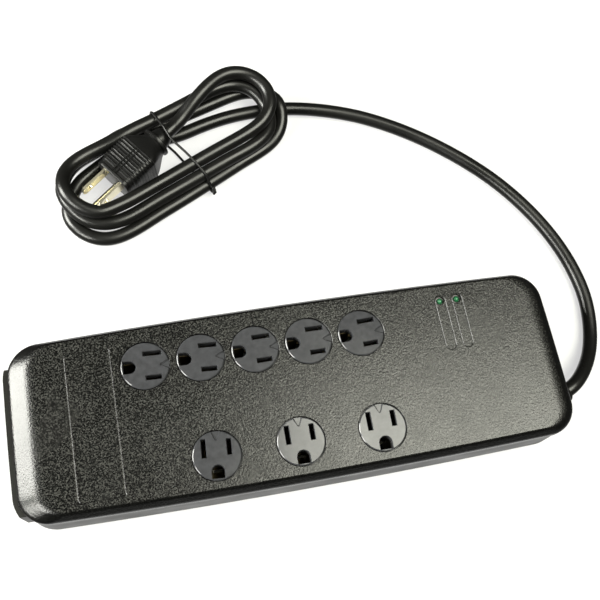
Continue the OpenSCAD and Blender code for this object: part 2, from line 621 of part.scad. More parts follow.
plug_spot = [-45.1, 166.5, 16.5];            // where the lead enters the plug's sleeve
plug_turn = 37;
plug_pitch = 5.5;                            // nose down, so that the pin rests on the surface
plug_l = 41;
plug_w = 24.4;
plug_t = 22;
blade_up = 4;                                // blades sit above the plug's middle
earth_down = 7.9;

module from_plug(pitch = plug_pitch) translate([plug_spot.x, plug_spot.y, pitch == 0 ? 20 : plug_spot.z])
    rotate([0, pitch, plug_turn + 180]) children();

module plug_body() color([0.07, 0.07, 0.07]) from_plug() difference() {
    union() {
        rotate([0, 90, 0]) cylinder(r1 = 5.2, r2 = 6.4, h = 8.5);
        translate([6, 0, 0]) rotate([0, 90, 0]) cylinder(r = 8.2, h = 2.6);
        hull() {
            translate([8, 0, 0]) rotate([0, 90, 0]) cylinder(r = 7.4, h = 1, $fn = 32);
            for (y = [-1, 1], z = [-1, 1]) translate([19, y * (plug_w / 2 - 4), z * (plug_t / 2 - 4)])
                rotate([0, 90, 0]) cylinder(r = 4, h = plug_l - 20, $fn = 32);
            for (y = [-1, 1], z = [-1, 1]) translate([19, y * (plug_w / 2 - 4.6), z * (plug_t / 2 - 4.6)])
                rotate([0, 90, 0]) cylinder(r = 4, h = plug_l - 19, $fn = 32);
        }
    }
    for (y = [-1, 1]) translate([30, y * slot_x - 0.75, blade_up - (y > 0 ? 3.95 : 3.2)])
        cube([20, 1.5, y > 0 ? 7.9 : 6.4]);
    translate([30, 0, -earth_down]) rotate([0, 90, 0]) cylinder(r = 2.4, h = 20);
}
module blade(y, w) from_plug() translate([30, y - 0.75, blade_up]) rotate([-90, 0, 0]) linear_extrude(1.5)
    difference() {
        polygon([[0, -w / 2], [plug_l - 30 + blade_l - 1.6, -w / 2], [plug_l - 30 + blade_l, -w / 2 + 1.6],
                 [plug_l - 30 + blade_l, w / 2 - 1.6], [plug_l - 30 + blade_l - 1.6, w / 2], [0, w / 2]]);
        translate([plug_l - 30 + blade_l - 5.5, 0]) circle(r = 1.6);
    }
module plug_blade_line() color([0.80, 0.72, 0.50]) blade(-slot_x, 6.4);
module plug_blade_neutral() color([0.80, 0.72, 0.50]) blade(slot_x, 7.9);
module plug_earth_pin() color([0.80, 0.72, 0.50]) from_plug() translate([30, 0, -earth_down])
    rotate([0, 90, 0]) union() {
        cylinder(r = 2.4, h = plug_l - 30 + earth_pin_l - 2.4);
        translate([0, 0, plug_l - 30 + earth_pin_l - 2.4]) sphere(r = 2.4);
    }

// ---- nodes ------------------------------------------------------------------------------------

top_cover();
base();
for (i = [0:7]) outlet(i);
back_line_bar();
back_neutral_bar();
back_earth_bar();
front_line_bar();
front_neutral_bar();
front_earth_bar();
back_contact_tray();
front_contact_tray();
circuit_board();
varistors();
thermal_fuses();
film_capacitor();
choke();
resistors();
led(led_spots[0]);  // led_protected
led(led_spots[1]);  // led_grounded
led_spacers();
end_panel();
switch_housing();
switch_rocker();
switch_contact_arm();
switch_terminals();
strain_relief();
cord_tail();
cord_clamp();
clamp_screws();
line_wire();
switched_line_wire();
neutral_wire();
earth_wire();
housing_screws();
board_screws();
rubber_feet();
lead();
lead_hank();
hank_tie();
plug_body();
plug_blade_line();
plug_blade_neutral();
plug_earth_pin();
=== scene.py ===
import json
import math

import bmesh
import bpy
import numpy as np
from mathutils import Matrix, Vector


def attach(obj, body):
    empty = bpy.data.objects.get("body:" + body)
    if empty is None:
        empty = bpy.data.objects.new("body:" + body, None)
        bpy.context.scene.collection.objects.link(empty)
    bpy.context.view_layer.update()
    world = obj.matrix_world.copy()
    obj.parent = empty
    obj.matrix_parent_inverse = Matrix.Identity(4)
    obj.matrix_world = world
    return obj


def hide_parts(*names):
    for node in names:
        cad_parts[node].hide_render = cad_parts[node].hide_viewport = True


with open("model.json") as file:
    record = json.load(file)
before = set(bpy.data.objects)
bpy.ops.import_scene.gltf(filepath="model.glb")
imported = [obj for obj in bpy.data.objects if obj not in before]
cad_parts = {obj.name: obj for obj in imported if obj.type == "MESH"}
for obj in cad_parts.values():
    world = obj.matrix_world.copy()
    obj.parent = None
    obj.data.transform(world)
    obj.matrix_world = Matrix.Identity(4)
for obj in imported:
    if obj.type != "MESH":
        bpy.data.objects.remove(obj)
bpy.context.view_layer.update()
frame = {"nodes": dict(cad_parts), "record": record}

scene = bpy.context.scene
MM = 0.001

# Sizes in millimetres: the housing's, with BODY_MID its middle along X.
BODY_L, BODY_W, BODY_H = 289, 95, 36
CORNER_R, SIDE_BOW, END_BOW = 15, 2.4, 0.5
WALL, COVER_Z, BODY_MID = 2.4, 26, 1.5
UNDER_TOP = BODY_H - WALL
# Widths of the cover's sloping edges: left end, long sides, rounded right end.
LEFT_SLOPE, SIDE_SLOPE, RIGHT_ROUND = 11.5, 2.9, 12.5
# The outlet faces stand a little proud, and are turned by a few degrees in their holes.
OUTLET_R, OUTLET_GAP, OUTLET_PROUD = 12.25, 0.35, 0.12
TWIST = (-2.5, -3.5, 0, -0.5, 1.5, -4, -1, -1)
OUTLETS = ([((-74 + 28.4 * i, 23.6), -90) for i in range(5)]
           + [((-45.1 + 42.6 * i, -27.6), 0) for i in range(3)])
LED_SPOTS = ((86.3, 34.8), (95.8, 34.8))
SCREW_SPOTS = ((-129, 36), (-129, -36), (131, 36), (88, -38.5), (-62, -5), (60, -5))
SMOOTH_ANGLE = 32
CORD_R = 4.0
# The plug's sleeve end, its turn about Z and its tilt; and the middle and turn of the folded lead.
PLUG_SPOT = np.array([-45.1, 166.5, 16.5])
PLUG_TURN, PLUG_PITCH = math.radians(217), math.radians(5.5)
HANK_MID, HANK_TURN = (-40.0, 156.0), math.radians(26.5)


# ---- camera -----------------------------------------------------------------------------------

CAMERA_SPOT = Vector((-62.9, -100.7, 469.2))
CAMERA_RIGHT = Vector((0.9770, -0.1865, 0.1033)).normalized()
CAMERA_FORWARD = Vector((0.1595, 0.3178, -0.9346))
SENSOR_WIDTH, LENS = 36, 52.3


def make_camera():
    data = bpy.data.cameras.new("camera")
    data.sensor_width = SENSOR_WIDTH
    data.lens = LENS
    camera = bpy.data.objects.new("camera", data)
    scene.collection.objects.link(camera)
    up = CAMERA_RIGHT.cross(CAMERA_FORWARD).normalized()
    turn = Matrix((CAMERA_RIGHT, up, CAMERA_RIGHT.cross(up))).transposed().to_4x4()
    camera.matrix_world = Matrix.Translation(CAMERA_SPOT * MM) @ turn
    scene.camera = camera


make_camera()


# ---- materials --------------------------------------------------------------------------------

BLOTCH_SIZE, CELL_SHARE, COAT_ROUGHNESS = 22, 1.3, 0.2
# Painted shade on slopes: the light flecks fade where the surface slopes, so the slopes come out
# darker; these are the heights of the normal that they fade between, and the share that stays.
SLOPE_SHADE_BAND, SLOPE_SHADE_FLECKS = (0.9, 0.99), 0.12


def material(name, color, roughness, grain=0.0, grain_size=0.8, blotch=0.15, metallic=0.0,
             tone=(0.85, 1.2), flecks=(0.3, 0.7), specular=0.5, coat=0.0, emission=None,
             painted_slope_shade=False):
    """A moulded, dipped or drawn surface: colour and roughness vary softly, and a grain stands on it.

    Sizes are in millimetres. With painted slope shade asked for, the light colour flecks fade out
    where the surface slopes, so the slopes are painted darker."""
    m = bpy.data.materials.new(name)
    m.use_nodes = True
    nodes, links = m.node_tree.nodes, m.node_tree.links
    shader = nodes["Principled BSDF"]
    shader.inputs["Base Color"].default_value = (*color, 1)
    shader.inputs["Roughness"].default_value = roughness
    shader.inputs["Metallic"].default_value = metallic
    shader.inputs["Specular IOR Level"].default_value = specular
    shader.inputs["Coat Weight"].default_value = coat
    shader.inputs["Coat Roughness"].default_value = COAT_ROUGHNESS
    if emission:
        shader.inputs["Emission Color"].default_value = (*emission[0], 1)
        shader.inputs["Emission Strength"].default_value = emission[1]
    place = nodes.new("ShaderNodeTexCoord")

    def noise(size, detail):
        n = nodes.new("ShaderNodeTexNoise")
        n.inputs["Scale"].default_value = 1 / (size * MM)
        n.inputs["Detail"].default_value = detail
        links.new(place.outputs["Object"], n.inputs["Vector"])
        return n.outputs["Fac"]

    def spread(value, low, high, band=(0.3, 0.7)):
        n = nodes.new("ShaderNodeMapRange")
        n.inputs["From Min"].default_value = band[0]
        n.inputs["From Max"].default_value = band[1]
        n.inputs["To Min"].default_value = low
        n.inputs["To Max"].default_value = high
        links.new(value, n.inputs["Value"])
        return n.outputs["Result"]

    fine = noise(grain_size, 3)
    broad = noise(BLOTCH_SIZE, 2)
    ramp = nodes.new("ShaderNodeMix")
    ramp.data_type = "RGBA"
    ramp.inputs["A"].default_value = (*[c * tone[0] for c in color], 1)
    ramp.inputs["B"].default_value = (*[min(c * tone[1], 1) for c in color], 1)
    share = spread(fine, 0, 1, flecks)
    # painted shade: the light flecks fade with the height of the normal, so sloping faces come out
    # darker
    if painted_slope_shade:
        surface = nodes.new("ShaderNodeNewGeometry")
        upward = nodes.new("ShaderNodeSeparateXYZ")
        links.new(surface.outputs["Normal"], upward.inputs["Vector"])
        product = nodes.new("ShaderNodeMath")
        product.operation = "MULTIPLY"
        links.new(share, product.inputs[0])
        links.new(spread(upward.outputs["Z"], SLOPE_SHADE_FLECKS, 1, SLOPE_SHADE_BAND), product.inputs[1])
        share = product.outputs["Value"]
    links.new(share, ramp.inputs["Factor"])
    links.new(ramp.outputs["Result"], shader.inputs["Base Color"])
    links.new(spread(broad, roughness * (1 - blotch), roughness * (1 + blotch)),
              shader.inputs["Roughness"])
    if grain:
        cells = nodes.new("ShaderNodeTexVoronoi")
        cells.feature = "SMOOTH_F1"
        cells.inputs["Scale"].default_value = 1 / (grain_size * CELL_SHARE * MM)
        links.new(place.outputs["Object"], cells.inputs["Vector"])
        relief = nodes.new("ShaderNodeMath")
        relief.operation = "SUBTRACT"
        links.new(fine, relief.inputs[0])
        links.new(cells.outputs["Distance"], relief.inputs[1])
        bump = nodes.new("ShaderNodeBump")
        bump.inputs["Strength"].default_value = 1
        bump.inputs["Distance"].default_value = grain * MM
        links.new(relief.outputs["Value"], bump.inputs["Height"])
        links.new(bump.outputs["Normal"], shader.inputs["Normal"])
    return m


MATERIALS = {
    # The cover's slopes are painted darker: painted shade, as its light flecks fade there.
    "cover_plastic": material("cover_plastic", (0.010, 0.010, 0.0092), 0.25, grain=0.065,
                              grain_size=0.66, tone=(0.1, 3.8), flecks=(0.46, 0.70), specular=0.29,
                              painted_slope_shade=True),
    "base_plastic": material("base_plastic", (0.010, 0.010, 0.0088), 0.36, grain=0.03, specular=0.2),
    "outlet_plastic": material("outlet_plastic", (0.027, 0.0275, 0.030), 0.16, grain=0.006,
                               grain_size=3, blotch=0.2, specular=0.32),
    # The contact brass is painted near black: painted shade, standing in for the shade deep inside
    # the outlets.
    "contact_brass": material("contact_brass", (0.05, 0.04, 0.022), 0.5, grain=0.01, metallic=1),
    "tray_plastic": material("tray_plastic", (0.72, 0.70, 0.64), 0.5, grain=0.02),
    "circuit_board": material("circuit_board", (0.03, 0.22, 0.09), 0.3, grain=0.01, coat=0.4),
    "varistor_coating": material("varistor_coating", (0.04, 0.12, 0.45), 0.35, grain=0.05,
                                 grain_size=1.5),
    "fuse_ceramic": material("fuse_ceramic", (0.78, 0.75, 0.64), 0.4, grain=0.02),
    "capacitor_case": material("capacitor_case", (0.75, 0.52, 0.05), 0.35, grain=0.02),
    "choke_winding": material("choke_winding", (0.60, 0.28, 0.10), 0.3, grain=0.15, grain_size=0.9,
                              metallic=1),
    "resistor_body": material("resistor_body", (0.66, 0.55, 0.36), 0.35, grain=0.02),
    "led_lens": material("led_lens", (0.012, 0.085, 0.032), 0.2, emission=((0.05, 0.9, 0.3), 0.012)),
    "spacer_nylon": material("spacer_nylon", (0.82, 0.82, 0.78), 0.5, grain=0.02),
    "switch_plastic": material("switch_plastic", (0.020, 0.020, 0.021), 0.25, grain=0.005,
                               grain_size=1.5),
    "contact_copper": material("contact_copper", (0.72, 0.42, 0.22), 0.35, grain=0.01, metallic=1),
    "cord_jacket": material("cord_jacket", (0.0035, 0.0035, 0.0032), 0.31, grain=0.012,
                            grain_size=1.2, blotch=0.2, specular=0.32),
    "plug_vinyl": material("plug_vinyl", (0.0035, 0.0035, 0.0034), 0.36, grain=0.03,
                           grain_size=0.9, specular=0.24),
    "plug_metal": material("plug_metal", (0.86, 0.80, 0.60), 0.30, metallic=1, grain_size=3,
                           tone=(0.96, 1.04)),
    "line_insulation": material("line_insulation", (0.02, 0.02, 0.02), 0.35, grain=0.01),
    "switched_insulation": material("switched_insulation", (0.45, 0.03, 0.03), 0.35, grain=0.01),
    "neutral_insulation": material("neutral_insulation", (0.82, 0.82, 0.80), 0.35, grain=0.01),
    "earth_insulation": material("earth_insulation", (0.04, 0.32, 0.08), 0.35, grain=0.01),
    "screw_steel": material("screw_steel", (0.55, 0.55, 0.57), 0.3, grain=0.01, metallic=1),
    "foot_rubber": material("foot_rubber", (0.05, 0.05, 0.05), 0.75, grain=0.04),
    "tie_coating": material("tie_coating", (0.004, 0.004, 0.004), 0.4, grain=0.02, specular=0.25),
}
EDGE_ROUNDING = {"switch_rocker": 0.35, "switch_housing": 0.3}


def wear(obj, slot):
    """Gives a new piece the material of the named slot, and lets it ride on the strip."""
    obj.data.materials.clear()
    obj.data.materials.append(MATERIALS[slot])
    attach(obj, "strip")
    return obj


def soften(obj, rounding_mm):
    """Smooth shading with crisp edges on a CAD node, and a small rounding of its corners."""
    mesh = obj.data
    if "custom_normal" in mesh.attributes:
        mesh.attributes.remove(mesh.attributes["custom_normal"])
    mesh.shade_smooth()
    weld = obj.modifiers.new("weld", "WELD")
    weld.merge_threshold = 0.02 * MM
    if rounding_mm:
        rounding = obj.modifiers.new("bevel", "BEVEL")
        rounding.width = rounding_mm * MM
        rounding.segments = 2
        rounding.limit_method = "ANGLE"
        rounding.angle_limit = math.radians(SMOOTH_ANGLE)
    split = obj.modifiers.new("edges", "EDGE_SPLIT")
    split.split_angle = math.radians(SMOOTH_ANGLE)


for row in frame["record"]["subparts"]:
    cad_node = frame["nodes"][row["node"]]
    cad_node.data.materials.clear()
    cad_node.data.materials.append(MATERIALS[row["material_slot"]])
    soften(cad_node, EDGE_ROUNDING.get(row["node"], 0))


# ---- mesh helpers -----------------------------------------------------------------------------

def mesh_piece(name, points, faces, angle=SMOOTH_ANGLE):
    """A mesh object from points in millimetres, smooth but for edges sharper than the angle."""
    mesh = bpy.data.meshes.new(name)
    mesh.from_pydata([Vector(p) * MM for p in points], [], faces)
    edit = bmesh.new()
    edit.from_mesh(mesh)
    bmesh.ops.recalc_face_normals(edit, faces=edit.faces)
    if edit.calc_volume(signed=True) < 0:
        bmesh.ops.reverse_faces(edit, faces=edit.faces)
    edit.to_mesh(mesh)
    edit.free()
    obj = bpy.data.objects.new(name, mesh)
    scene.collection.objects.link(obj)
    shade(obj, angle)
    return obj


def shade(obj, angle):
    obj.data.shade_smooth()
    obj.data.set_sharp_from_angle(angle=math.radians(angle))


def skin(rings, closed=False):
    """Points and faces of a surface through equal rings: a loop if closed, or else with end caps."""
    n = len(rings[0])
    points = [p for ring in rings for p in ring]
    faces = []
    for i in range(len(rings) if closed else len(rings) - 1):
        a, b = i * n, (i + 1) % len(rings) * n
        faces += [(a + k, a + (k + 1) % n, b + (k + 1) % n, b + k) for k in range(n)]
    if not closed:
        faces += [tuple(range(n))[::-1], tuple(range((len(rings) - 1) * n, len(rings) * n))]
    return points, faces


def merge(parts):
    """Several (points, faces) as one."""
    points, faces = [], []
    for p, f in parts:
        faces += [tuple(i + len(points) for i in face) for face in f]
        points += list(p)
    return points, faces


def circle(x, y, r, z, n=64):
    turns = [2 * math.pi * k / n for k in range(n)]
    return [(x + r * math.cos(a), y + r * math.sin(a), z) for a in turns]


def tube_rings(points, radius, n=12):
    """Rings round a line of points, without twist."""
    points = [Vector(p) for p in points]
    last = len(points) - 1
    way = [(points[min(i + 1, last)] - points[max(i - 1, 0)]).normalized() for i in range(last + 1)]
    turns = [2 * math.pi * k / n for k in range(n)]
    across = way[0].orthogonal().normalized()
    rings = []
    for p, w in zip(points, way):
        across = (across - w * across.dot(w)).normalized()
        up = w.cross(across)
        rings.append([p + radius * (across * math.cos(a) + up * math.sin(a)) for a in turns])
    return rings


def carve(obj, cutter):
    """Takes the cutter out of the piece and keeps the result, with even shading on its flat faces."""
    cut = obj.modifiers.new("cut", "BOOLEAN")
    cut.operation = "DIFFERENCE"
    cut.solver = "MANIFOLD"
    cut.object = cutter
    bpy.context.view_layer.update()
    made = bpy.data.meshes.new_from_object(obj.evaluated_get(bpy.context.evaluated_depsgraph_get()))
    obj.modifiers.clear()
    obj.data = made
    bpy.data.objects.remove(cutter)
    shade(obj, SMOOTH_ANGLE)
    even = obj.modifiers.new("even", "WEIGHTED_NORMAL")
    even.keep_sharp = True


# ---- mains lead -------------------------------------------------------------------------------

# The loose stretch, from the strip's end to the hank.
LEAD_ROUTE = (
    (150.53, -21.89, 16), (155, -19.8, 16), (159.5, -17, 14.8), (167, -10.5, 11.5),
    (174.5, -1.5, 7.5), (180, 9, 4.8), (183.5, 22, 4), (184.5, 37, 4), (182, 55, 4), (176, 74, 4),
    (166, 94, 4), (152, 114, 4), (136, 131, 4), (117, 147, 4), (96, 161, 4), (74, 172, 4),
    (52, 179, 4), (32, 182.5, 4))
# The hank, along and across its own length: a run under the plug, three turns, and up to the plug.
FIRST_RUN = ((58, 1, 4), (42, 7, 4), (24, 11, 4), (10, 13, 4), (2, 16, 4), (-6, 20.5, 4),
             (-16, 25, 4), (-26, 24.5, 4), (-35, 22, 4))
LAST_RUN = ((30, 20, 24), (18, 16.5, 20.5), (8, 13.3, 17.6))
# Each turn: the left end's reach, sides and heights, the height between, then the right end's.
HANK_TURNS = (
    dict(left=-72, sides=(20, -23.5), heights=(4, 4, 4), middle=4,
         right=71, right_sides=(-22.5, 17), right_heights=(5.5, 12.5, 9)),
    dict(left=-69, sides=(31, -18), heights=(7, 12.5, 12), middle=12,
         right=64.5, right_sides=(-21, 22), right_heights=(13, 14, 17.5)),
    dict(left=-68, sides=(27.5, -11), heights=(16, 20.5, 18.5), middle=16,
         right=67.5, right_sides=(-14, 23.5), right_heights=(19.5, 22, 25.2)))


def between(a, b, s):
    return a + (b - a) * s


def from_hank(points):
    """Points along and across the hank, in the frame."""
    u, v, z = np.array(points, float).T
    c, s = math.cos(HANK_TURN), math.sin(HANK_TURN)
    return np.stack([HANK_MID[0] + u * c - v * s, HANK_MID[1] + u * s + v * c, z], 1)


def half_turn(u, v, r, start, heights):
    """Half a circle from the start angle, its height led through the three given ones."""
    points = []
    for i in range(7):
        angle = math.radians(start + 30 * i)
        z = between(*heights[:2], i / 3) if i < 3 else between(*heights[1:], i / 3 - 1)
        points.append((u + r * math.cos(angle), v + r * math.sin(angle), z))
    return points


def hank_points():
    points = list(FIRST_RUN)
    for number, t in enumerate(HANK_TURNS):
        r1 = (t["sides"][0] - t["sides"][1]) / 2
        r2 = (t["right_sides"][1] - t["right_sides"][0]) / 2
        u1, v1 = t["left"] + r1, t["sides"][1] + r1
        u2, v2 = t["right"] - r2, t["right_sides"][0] + r2
        left = half_turn(u1, v1, r1, 90, t["heights"])
        run_heights = ((0.25, between(t["heights"][2], t["middle"], 0.6)), (0.5, t["middle"]),
                       (0.75, between(t["middle"], t["right_heights"][0], 0.4)))
        run = [(between(u1, u2, s), between(t["sides"][1], t["right_sides"][0], s), z)
               for s, z in run_heights]
        if number:
            before, after = np.array(points[-1]), np.array(left[0])
            points += [tuple(between(before, after, i / 4)) for i in (1, 2, 3)]
        points += left + run + half_turn(u2, v2, r2, -90, t["right_heights"])
    return from_hank(points + list(LAST_RUN))


def smooth_line(points, step):
    """Even points along a centripetal spline through the given ones, and their spacing."""
    p = np.array(points, float)
    p = np.vstack([2 * p[0] - p[1], p, 2 * p[-1] - p[-2]])
    out = []
    for p0, p1, p2, p3 in zip(p, p[1:], p[2:], p[3:]):
        t1 = math.sqrt(np.linalg.norm(p1 - p0))
        t2 = t1 + math.sqrt(np.linalg.norm(p2 - p1))
        t3 = t2 + math.sqrt(np.linalg.norm(p3 - p2))
        t = np.linspace(t1, t2, 12, endpoint=False)[:, None]
        a1 = (t1 - t) / t1 * p0 + t / t1 * p1
        a2 = (t2 - t) / (t2 - t1) * p1 + (t - t1) / (t2 - t1) * p2
        a3 = (t3 - t) / (t3 - t2) * p2 + (t - t2) / (t3 - t2) * p3
        b1 = (t2 - t) / t2 * a1 + t / t2 * a2
        b2 = (t3 - t) / (t3 - t1) * a2 + (t - t1) / (t3 - t1) * a3
        out.append((t2 - t) / (t2 - t1) * b1 + (t - t1) / (t2 - t1) * b2)
    line = np.vstack(out + [p[-2][None]])
    run = np.r_[0, np.cumsum(np.linalg.norm(np.diff(line, axis=0), axis=1))]
    count = int(round(run[-1] / step))
    even = np.linspace(0, run[-1], count + 1)
    return np.stack([np.interp(even, run, line[:, k]) for k in range(3)], 1), run[-1] / count


def plug_axes():
    """The plug's own axes as rows: towards its blades, across, and up."""
    ct, st = math.cos(PLUG_TURN), math.sin(PLUG_TURN)
    cp, sp = math.cos(PLUG_PITCH), math.sin(PLUG_PITCH)
    return np.array([[ct * cp, st * cp, -sp], [-st, ct, 0], [ct * sp, st * sp, cp]])


# The plug as rounded boxes that the lead keeps clear of: middle, half sizes, rounding.
PLUG_BLOCKS = (((30, 0, 0), (11, 8.2, 7), 4), ((16, 0, 0), (4, 5.5, 4.8), 4),
               ((7.3, 0, 0), (1, 0, 0), 8), ((4, 0, 0), (4, 0, 0), 5.8),
               ((50, -6.35, 4), (8.6, 0.75, 3.2), 0), ((50, 6.35, 4), (8.6, 0.75, 3.95), 0),
               ((50, 0, -7.9), (11, 0, 0), 2.4))
# Along the lead: the end that the plug's sleeve grips, and the start that stays where it is.
SLEEVE_GRIP, HELD_LENGTH = 14, 260
SETTLE_TURNS, SMOOTH_TURNS = 240, 5
PUSH, STIFFNESS, SINK, PULL_BACK = 1.3, 0.06, 0.02, 0.02


def settle(line, step, held):
    """Lets the turns sink, each a diameter from the others and clear of the plug and the surface.

    The first held points stay where they are."""
    gap = CORD_R * 2.01
    rest, count = line.copy(), len(line)
    free = np.ones((count, 1))
    free[:held] = 0
    free[-3:] = 0
    in_sleeve = np.arange(count) > count - int(SLEEVE_GRIP / step)
    axes = plug_axes()
    for turn in range(SETTLE_TURNS):
        if turn % 10 == 0:
            apart = np.linalg.norm(line[:, None] - line[None], axis=2)
            one, two = np.nonzero(np.triu(apart < gap + 3, int(6 * CORD_R / step)))
        way = line[two] - line[one]
        length = np.linalg.norm(way, axis=1)
        close = length < gap
        shift = way[close] * ((gap - length[close]) / np.maximum(length[close], 1e-6))[:, None] / 2
        push, hits = np.zeros_like(line), np.zeros((count, 1))
        for ends, sign in ((two[close], 1), (one[close], -1)):
            np.add.at(push, ends, sign * shift)
            np.add.at(hits, ends, 1)
        line = line + PUSH * push / np.maximum(hits, 1) * free
        for middle, half, rounding in PLUG_BLOCKS:
            local = (line - PLUG_SPOT) @ axes.T - np.array(middle)
            over = np.maximum(np.abs(local) - np.array(half), 0)
            far = np.linalg.norm(over, axis=1)
            clear = rounding + CORD_R + 0.1
            inside = (far < clear) & (far > 1e-6) & ~in_sleeve
            out = (over * np.sign(local)) / np.maximum(far, 1e-6)[:, None]
            line[inside] += (((clear - far)[:, None] * out) @ axes)[inside] * free[inside]
        bend = np.zeros_like(line)
        bend[2:-2] = line[:-4] - 4 * line[1:-3] + 6 * line[2:-2] - 4 * line[3:-1] + line[4:]
        line -= STIFFNESS * bend * free
        line[:, 2] -= SINK * free[:, 0]
        line += (rest - line) * PULL_BACK * free * np.array([1, 1, 0.3])
        line[:, 2] = np.maximum(line[:, 2], CORD_R)
        for _ in range(2):
            way = line[1:] - line[:-1]
            length = np.linalg.norm(way, axis=1)
            pull = way * ((length - step) / length)[:, None] / 4
            line[:-1] += pull * free[:-1]
            line[1:] -= pull * free[1:]
    for _ in range(SMOOTH_TURNS):
        line[1:-1] += 0.25 * (line[:-2] - 2 * line[1:-1] + line[2:]) * free[1:-1]
    return line


route, spacing = smooth_line(np.vstack([LEAD_ROUTE, hank_points(), PLUG_SPOT]), 2.4)
route = settle(route, spacing, int(HELD_LENGTH / spacing))


def cord_curve(name, points, radius):
    curve = bpy.data.curves.new(name, "CURVE")
    curve.dimensions = "3D"
    curve.bevel_depth = radius * MM
    curve.bevel_resolution = 8
    curve.use_fill_caps = True
    spline = curve.splines.new("POLY")
    spline.points.add(len(points) - 1)
    for point, p in zip(spline.points, points):
        point.co = (*[c * MM for c in p], 1)
    spline.use_smooth = True
    obj = bpy.data.objects.new(name, curve)
    scene.collection.objects.link(obj)
    return obj


lead = wear(cord_curve("mains_lead", route, CORD_R), "cord_jacket")
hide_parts("lead", "lead_hank")


# ---- wire tie ---------------------------------------------------------------------------------

# The wire's way over the bundle and back under it, along and across the hank.
TIE_PATH = ((1.9, 28.9), (1.7, 26), (1.2, 20.6), (0.1, 9.4), (-0.4, 3.9), (2.4, -6.3),
            (4.3, -15.4), (5.4, -21.8), (6, -28.4))
TIE_UNDER = ((6, -25), (4.6, -12), (3.6, -0.6), (3, 6.3), (1.9, 13), (1.9, 24))
WIRE_R, WIRE_SINK = 0.72, 0.6
# Over the plug's sleeve the wire stays above this height; elsewhere it may lie on the surface.
OVER_SLEEVE, SLEEVE_BAND, ON_SURFACE = 23.4, (5, 14), 0.7
# The twisted ends: where they start, how far they run, their radius, and the turn between points.
KNOT = (6.0, -29.2, 8)
TWIST_RUN, TWIST_POINTS = (-0.6, -2.2, -2.5), 24
TWIST_R, TWIST_STEP = 0.62, 0.7


def top_of_bundle(u, v):
    """The height that a wire lies at over the turns there, or near the surface if there are none."""
    spot = from_hank([(u, v, 0)])[0]
    reach = CORD_R + WIRE_SINK
    flat = np.hypot(route[:, 0] - spot[0], route[:, 1] - spot[1])
    near = flat < reach
    rise = np.sqrt(np.maximum(reach ** 2 - flat[near] ** 2, 0))
    return float((route[near, 2] + rise).max(initial=WIRE_SINK))


def make_tie():
    """A wire drawn taut round the turns, its two ends twisted together."""
    across = np.linspace(28.9, -28.4, 41)
    along = np.interp(-across, [-v for _, v in TIE_PATH], [u for u, _ in TIE_PATH])
    least = np.where((across > SLEEVE_BAND[0]) & (across < SLEEVE_BAND[1]), OVER_SLEEVE, ON_SURFACE)
    tops = np.maximum([top_of_bundle(u, v) for u, v in zip(along, across)], least)
    # the taut wire spans the hollows: the upper hull of the heights
    hull = [0]
    for k in range(1, len(across)):
        while len(hull) > 1:
            a, b = hull[-2], hull[-1]
            rise_b, rise_k = tops[b] - tops[a], tops[k] - tops[a]
            if rise_b * (across[a] - across[k]) > rise_k * (across[a] - across[b]):
                break
            hull.pop()
        hull.append(k)
    heights = np.interp(-across, -across[hull], tops[hull]) + 0.1
    heights[0] = min(heights[0], 16)
    over = list(zip(along, across, heights))
    far_side = [(1.9, 29.3, 12), (1.9, 29.2, 5), (1.9, 27.8, 1.6)]
    under = [(u, v, WIRE_R) for u, v in TIE_UNDER]
    near_side = [(6.1, -28.4, 1.6), (6.2, -29.6, 4.5)]
    loop = from_hank([KNOT] + over[::-1][1:] + far_side + under[::-1] + near_side + [KNOT])
    parts = [skin(tube_rings(smooth_line(loop, 1.2)[0], WIRE_R))]
    for phase in (0, math.pi):
        twist = []
        for k in range(TWIST_POINTS + 1):
            u, v, z = (start + run * k / TWIST_POINTS for start, run in zip(KNOT, TWIST_RUN))
            a = phase + TWIST_STEP * k
            twist.append((u + TWIST_R * math.cos(a), v, z + TWIST_R * math.sin(a)))
        parts.append(skin(tube_rings(smooth_line(from_hank(twist), 0.6)[0], WIRE_R)))
    return mesh_piece("wire_tie", *merge(parts), angle=60)


tie = wear(make_tie(), "tie_coating")
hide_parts("hank_tie")


# ---- plug -------------------------------------------------------------------------------------

def rounded_section(x, half_w, half_t, r, n=12):
    """One ring of the plug: a rounded rectangle across it at x."""
    ring = []
    for corner, (sy, sz) in enumerate(((1, 1), (-1, 1), (-1, -1), (1, -1))):
        for k in range(n + 1):
            a = math.radians(90 * corner + 90 * k / n)
            ring.append((x, sy * (half_w - r) + r * math.cos(a), sz * (half_t - r) + r * math.sin(a)))
    return ring


def round_section(x, r, n=48):
    turns = [2 * math.pi * k / n for k in range(n)]
    return [(x, r * math.cos(a), r * math.sin(a)) for a in turns]


# The plug's body: half width and half thickness where it is widest, and half its neck.
PLUG_HALF_W, PLUG_HALF_T, NECK_HALF = 12.2, 11.0, 7.4


def plug_half_size(x):
    """Half width, half thickness and corner rounding of the plug's body, x from the sleeve.

    It is round and narrow at the sleeve, swells within 11 mm, and narrows a little at its nose."""
    s = min(max((x - 8) / 11, 0), 1)
    s = s * s * (3 - 2 * s) * 0.5 + s * 0.5
    nose = max((x - 34) / 7, 0)
    return (between(NECK_HALF, PLUG_HALF_W - 0.9 * nose, s),
            between(NECK_HALF, PLUG_HALF_T - 0.5 * nose, s), between(7.3, 4, s))


BODY_START, BODY_END, RING_STEP = 8.4, 38.6, 0.2
